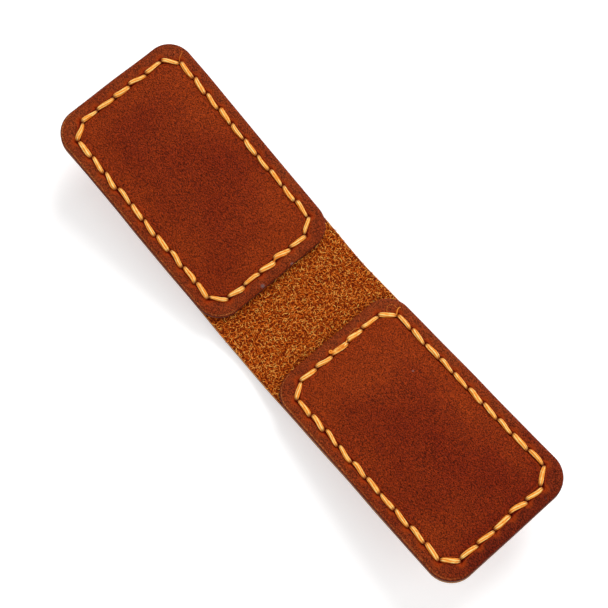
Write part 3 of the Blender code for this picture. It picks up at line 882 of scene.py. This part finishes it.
def sew(skin, holes, seat, facing, seed, fat=()):
    """A row of stitches on one face, facing up (1) or down (-1), fat ones by number and factor. Along a
    stitch t runs from -1 to 1: its size goes as 0.42 + 0.58 (1 - |t|^2.8)^0.7, it dives by |t|^8, and
    it leans, slants, bows and sways at random. Round it STRANDS lobes twist by a sixth of a turn."""
    random = np.random.default_rng(seed)
    start, end = holes[:, :2], np.roll(holes[:, :2], -1, 0)
    run = (end - start)[:, None, None, :]
    reach = np.linalg.norm(run, axis=-1)
    forward = run / reach[..., None]
    aside = np.stack([-forward[..., 1], forward[..., 0]], -1)
    each = (len(holes), 1, 1)
    t = np.linspace(-1, 1, RINGS)[None, :, None]
    around = np.linspace(0, 2 * np.pi, POINTS_ROUND, endpoint=False)[None, None, :]
    size = random.uniform(0.88, 1.1, each)
    for number, factor in fat:
        size[number] *= factor
    lean = random.uniform(-0.06, 0.26, each)
    swell = size * (0.42 + 0.58 * (1 - np.abs(t) ** 2.8) ** 0.7) * (1 + lean * t)
    twist = 1.3 * t + random.uniform(0, 2 * np.pi, each)
    lobes = np.abs(np.cos(STRANDS / 2 * around - twist)) ** 0.7
    profile = 0.68 + 0.4 * lobes
    # Painted highlight on each strand's crown and on the side away from the leather, painted shade in the grooves
    # between and on the side towards it
    crown_light = lobes * (0.25 + 0.75 * np.sqrt(np.maximum(np.sin(around), 0)))
    slant = random.uniform(0.06, 0.34, each)
    bow = random.uniform(-0.2, 0.2, each)
    run_along = t * (reach / 2 + OVERRUN)
    sway = random.uniform(-0.1, 0.1, each) * np.sin(np.pi * t)
    sideways = sway - slant * t + bow * (1 - t**2)
    sideways = sideways + STITCH_HALF_WIDTH * swell * profile * np.cos(around)
    rise = CREST - DIVE * np.abs(t) ** 8
    rise = rise + STITCH_HALF_HEIGHT * swell * profile * np.sin(around)
    middle = ((start + end) / 2)[:, None, None, :]
    place = middle + forward * run_along[..., None] + aside * sideways[..., None]
    marks = (around / (2 * np.pi) + 0 * sideways, np.abs(t) + 0 * sideways, crown_light)
    points = skin.add(PAD_CENTRE + place[..., 0], place[..., 1], seat + facing * rise, marks)
    following = np.roll(points, -1, -1)
    quads = np.stack([points[:, :-1], points[:, 1:], following[:, 1:], following[:, :-1]], -1)
    skin.face(quads[..., ::-facing], THREAD)
    skin.face(points[:, 0, ::facing], THREAD)
    skin.face(points[:, -1, ::-facing], THREAD)


def lay_strand(skin, path, radius, taper=0.5):
    """A thin round strand along a path of (x, y, height) on a pad, smoothed by six rounds of weights
    1, 2, 1: circles square to the path, whose radius falls to taper times as much at the far end."""
    path = np.array(path, float)
    parts = np.linspace(0, len(path) - 1, 6 * len(path))
    path = np.stack([np.interp(parts, np.arange(len(path)), part) for part in path.T], -1)
    for _ in range(6):
        path[1:-1] = (path[:-2] + 2 * path[1:-1] + path[2:]) / 4
    ahead = np.gradient(path, axis=0)
    ahead /= np.linalg.norm(ahead, axis=1)[:, None]
    aside = np.cross(ahead, (0.1, 0.2, 1.0))
    aside /= np.linalg.norm(aside, axis=1)[:, None]
    above = np.cross(aside, ahead)
    turn = np.linspace(0, 2 * np.pi, 8, endpoint=False)[None, :, None]
    size = radius * np.linspace(1, taper, len(path))[:, None, None]
    rings = path[:, None] + size * (np.cos(turn) * aside[:, None] + np.sin(turn) * above[:, None])
    share = np.linspace(0, 1, len(path))[:, None]
    marks = (turn[..., 0] / (2 * np.pi) + 0 * share, 0.55 * (1 - share) + 0 * turn[..., 0], 0.4)
    points = skin.add(PAD_CENTRE + rings[..., 0], rings[..., 1], rings[..., 2], marks)
    following = np.roll(points, -1, -1)
    skin.face(np.stack([points[1:], following[1:], following[:-1], points[:-1]], -1), THREAD)
    skin.face(points[:1], THREAD)
    skin.face(points[-1:, ::-1], THREAD)


def waxed_thread():
    """Waxed polyester thread: golden orange strands with a soft waxy gloss, a painted highlight, pale, on
    their crowns and on the side away from the leather, painted shade, deep orange, in the grooves between
    and on the side towards the leather, and painted shade, dark red-brown, where they dive into the holes.
    Its marks are the share of a turn round it, how near a hole it is, and how high on a strand and how
    far from the leather it lies, which sets the painted highlight."""
    material, shader = new_material(
        "waxed braided thread", Roughness=0.46, IOR=1.5, Specular_IOR_Level=0.12
    )
    marks = add_node(material, "ShaderNodeAttribute", attribute_name="marks").outputs["Vector"]
    hide = add_node(material, "ShaderNodeAttribute", attribute_name="hide").outputs["Vector"]
    _, towards_end, crown_light = add_node(material, "ShaderNodeSeparateXYZ", {0: marks}).outputs
    # Filaments run along the thread, about 0.15 mm apart round its 2.4 mm girth. Real ones are finer:
    # these are as coarse as they need to be to show. No two stitches have the same ones.
    laid = add_node(material, "ShaderNodeMapping", {"Vector": marks, "Scale": (16, 1.5, 0)}).outputs[0]
    laid = add_node(
        material, "ShaderNodeVectorMath", {0: hide, 1: (0.4, 0.4, 0), 2: laid}, operation="MULTIPLY_ADD"
    ).outputs[0]
    filaments = add_node(
        material, "ShaderNodeTexNoise", {"Vector": laid, "Scale": 1.0, "Detail": 3, "Distortion": 0.9}
    ).outputs[0]
    wear = add_node(
        material, "ShaderNodeTexNoise", {"Vector": hide, "Scale": 1 / 0.8, "Detail": 2}
    ).outputs[0]
    shade = -0.31
    for source, share in ((filaments, 0.85), (wear, 0.3), (crown_light, 0.5)):
        shade = add_node(
            material, "ShaderNodeMath", {0: source, 1: share, 2: shade}, operation="MULTIPLY_ADD"
        ).outputs[0]
    body = add_node(
        material,
        "ShaderNodeValToRGB",
        {0: shade},
        ((0.1, "#a43200"), (0.34, "#ea760e"), (0.57, "#fca23a"), (0.78, "#ffe08a")),
    ).outputs[0]
    # Painted shade: the stitch darkens to dark red-brown towards its ends, where it dives into the holes
    end_shade = add_node(material, "ShaderNodeMapRange", {0: towards_end, 1: 0.66, 2: 0.95}).outputs[0]
    body = add_node(
        material, "ShaderNodeMix", {0: end_shade, 6: body, 7: linear("#741600")}, data_type="RGBA"
    ).outputs[2]
    bump = add_node(
        material, "ShaderNodeBump", {"Height": filaments, "Strength": 0.5, "Distance": 0.08 * MM}
    ).outputs[0]
    material.node_tree.links.new(body, shader.inputs["Base Color"])
    material.node_tree.links.new(bump, shader.inputs["Normal"])
    return material


thread = waxed_thread()
# Stitches that are pulled less tight: (number, times as thick)
UNEVEN_STITCHES = {"a": ((30, 1.14), (31, 1.22)), "b": ((30, 1.34), (29, 1.1))}
# The finishing knot, a small coil on top of pad b
KNOT_X, KNOT_Y, KNOT_RADIUS, KNOT_RISE, KNOT_POINTS = -23.05, -1.75, 0.27, 0.05, 12
knot_turn = np.linspace(0.6, 3.4 * np.pi, KNOT_POINTS)
knot = np.stack(
    [
        KNOT_X + KNOT_RADIUS * np.cos(knot_turn),
        KNOT_Y + KNOT_RADIUS * np.sin(knot_turn),
        PATCH_TOP + 0.1 + KNOT_RISE * np.linspace(0, 1, KNOT_POINTS),
    ],
    -1,
)
# Loose strands and hairs on top of each pad: (radius, taper, path), and a path is (x, y, height)s
LOOSE_ENDS = {
    "a": (
        (0.05, 0.4, ((20.2, -12.8, 2.5), (20.8, -13.5, 2.9), (21.0, -14.2, 3.0), (21.5, -14.6, 2.8))),
        (0.2, 0.5, ((-22.6, -1.6, 2.4), (-22.2, -2.4, 2.9), (-22.8, -3.6, 2.95), (-23.1, -4.6, 2.6))),
    ),
    "b": (
        (0.2, 0.8, knot),
        (0.14, 0.5, ((-20.2, 12.9, 2.4), (-20.6, 13.4, 2.8), (-20.9, 14.0, 2.75), (-20.8, 14.5, 2.6))),
        (0.024, 0.5, ((-21.6, 11.6, 2.7), (-22.6, 12.6, 3.1), (-22.2, 13.6, 3.2), (-21.2, 13.9, 2.8))),
        (0.16, 0.6, ((-22.7, 2.1, 2.4), (-22.2, 1.0, 2.95), (-22.3, -0.2, 3.0), (-22.8, -1.6, 2.6))),
        (0.028, 0.5, ((-22.9, 5.8, 2.5), (-23.4, 4.8, 3.0), (-23.3, 3.6, 3.0), (-22.9, 2.6, 2.7))),
    ),
}
for side, heading in HEADINGS.items():
    skin = Skin()
    seed = 140 + heading
    sew(skin, hole_sets[side], PATCH_TOP - SEAT, 1, seed, UNEVEN_STITCHES[side])
    sew(skin, hole_sets[side], -STRAP_HALF_THICKNESS + SEAT, -1, seed + 10)
    for radius, taper, path in LOOSE_ENDS[side]:
        lay_strand(skin, path, radius, taper)
    row = skin.made(f"stitches_{side}", (thread,), heading, 130 + heading)
    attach(row, f"pad_{side}")
    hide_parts(f"thread_{side}")

# --- Table, light and camera -----------------------------------------------------------------------
# The clip lies open on a plain white table, which glows faintly so that it stays white, under one
# large soft lamp and three weaker ones, between pale walls. Nothing here belongs to the object.

paper, _ = new_material(
    "white light table",
    Roughness=0.8,
    Base_Color=linear("#f4f4f4"),
    Emission_Color=linear("#ffffff"),
    Emission_Strength=0.37,
)
bpy.ops.mesh.primitive_plane_add(size=4, location=(0, 0, -0.05 * MM))
table = bpy.context.object
table.name = "table"
table.data.materials.append(paper)

world = bpy.data.worlds.new("white walls")
world.use_nodes = True
world.node_tree.nodes["Background"].inputs["Color"].default_value = linear("#ffffff")
world.node_tree.nodes["Background"].inputs["Strength"].default_value = 0.34
bpy.context.scene.world = world

CAMERA_AZIMUTH, CAMERA_ELEVATION, CAMERA_ROLL = np.radians([47.737, 77.028, 1.626])
CAMERA_DISTANCE = 218.16
CAMERA_TARGET = np.array([-1.145, 1.316, 0])
# Width of the view over its distance
FIELD = 608 / 1081.8


def turned_to(back, right):
    """The rotation whose z axis is back and whose x axis is right."""
    return Matrix(np.stack([right, np.cross(back, right), back], -1).tolist())


back = np.array(
    [
        np.sin(CAMERA_AZIMUTH) * np.cos(CAMERA_ELEVATION),
        -np.cos(CAMERA_AZIMUTH) * np.cos(CAMERA_ELEVATION),
        np.sin(CAMERA_ELEVATION),
    ]
)
level = np.array([np.cos(CAMERA_AZIMUTH), np.sin(CAMERA_AZIMUTH), 0])
right = level * np.cos(CAMERA_ROLL) + np.cross(back, level) * np.sin(CAMERA_ROLL)
camera = bpy.data.objects.new("camera", bpy.data.cameras.new("camera"))
camera.data.sensor_width = 36
camera.data.lens = camera.data.sensor_width / FIELD
camera.data.clip_start = 1 * MM
camera.location = (CAMERA_TARGET + back * CAMERA_DISTANCE) * MM
camera.rotation_mode = "QUATERNION"
camera.rotation_quaternion = turned_to(back, right).to_quaternion()
bpy.context.scene.collection.objects.link(camera)
bpy.context.scene.camera = camera

# Each lamp's azimuth and elevation in degrees, distance and width in metres, and watts
LAMPS = (
    ("key lamp", -27, 41, 0.75, 0.42, 3.7),
    ("right lamp", 60, 36, 0.75, 0.7, 1.5),
    ("left lamp", -134, 36, 0.75, 0.7, 0.9),
    ("front lamp", 132, 36, 0.75, 0.7, 0.9),
)
for name, azimuth, elevation, distance, size, watts in LAMPS:
    azimuth, elevation = np.radians([azimuth, elevation])
    towards = np.array(
        [
            np.sin(azimuth) * np.cos(elevation),
            np.cos(azimuth) * np.cos(elevation),
            np.sin(elevation),
        ]
    )
    lamp = bpy.data.lights.new(name, "AREA")
    lamp.shape, lamp.size, lamp.energy = "DISK", size, watts
    holder = bpy.data.objects.new(name, lamp)
    holder.location = towards * distance
    sideways = np.array([-towards[1], towards[0], 0]) / np.hypot(towards[0], towards[1])
    holder.rotation_mode = "QUATERNION"
    holder.rotation_quaternion = turned_to(towards, sideways).to_quaternion()
    bpy.context.scene.collection.objects.link(holder)

bpy.context.scene.view_settings.view_transform = "Standard"
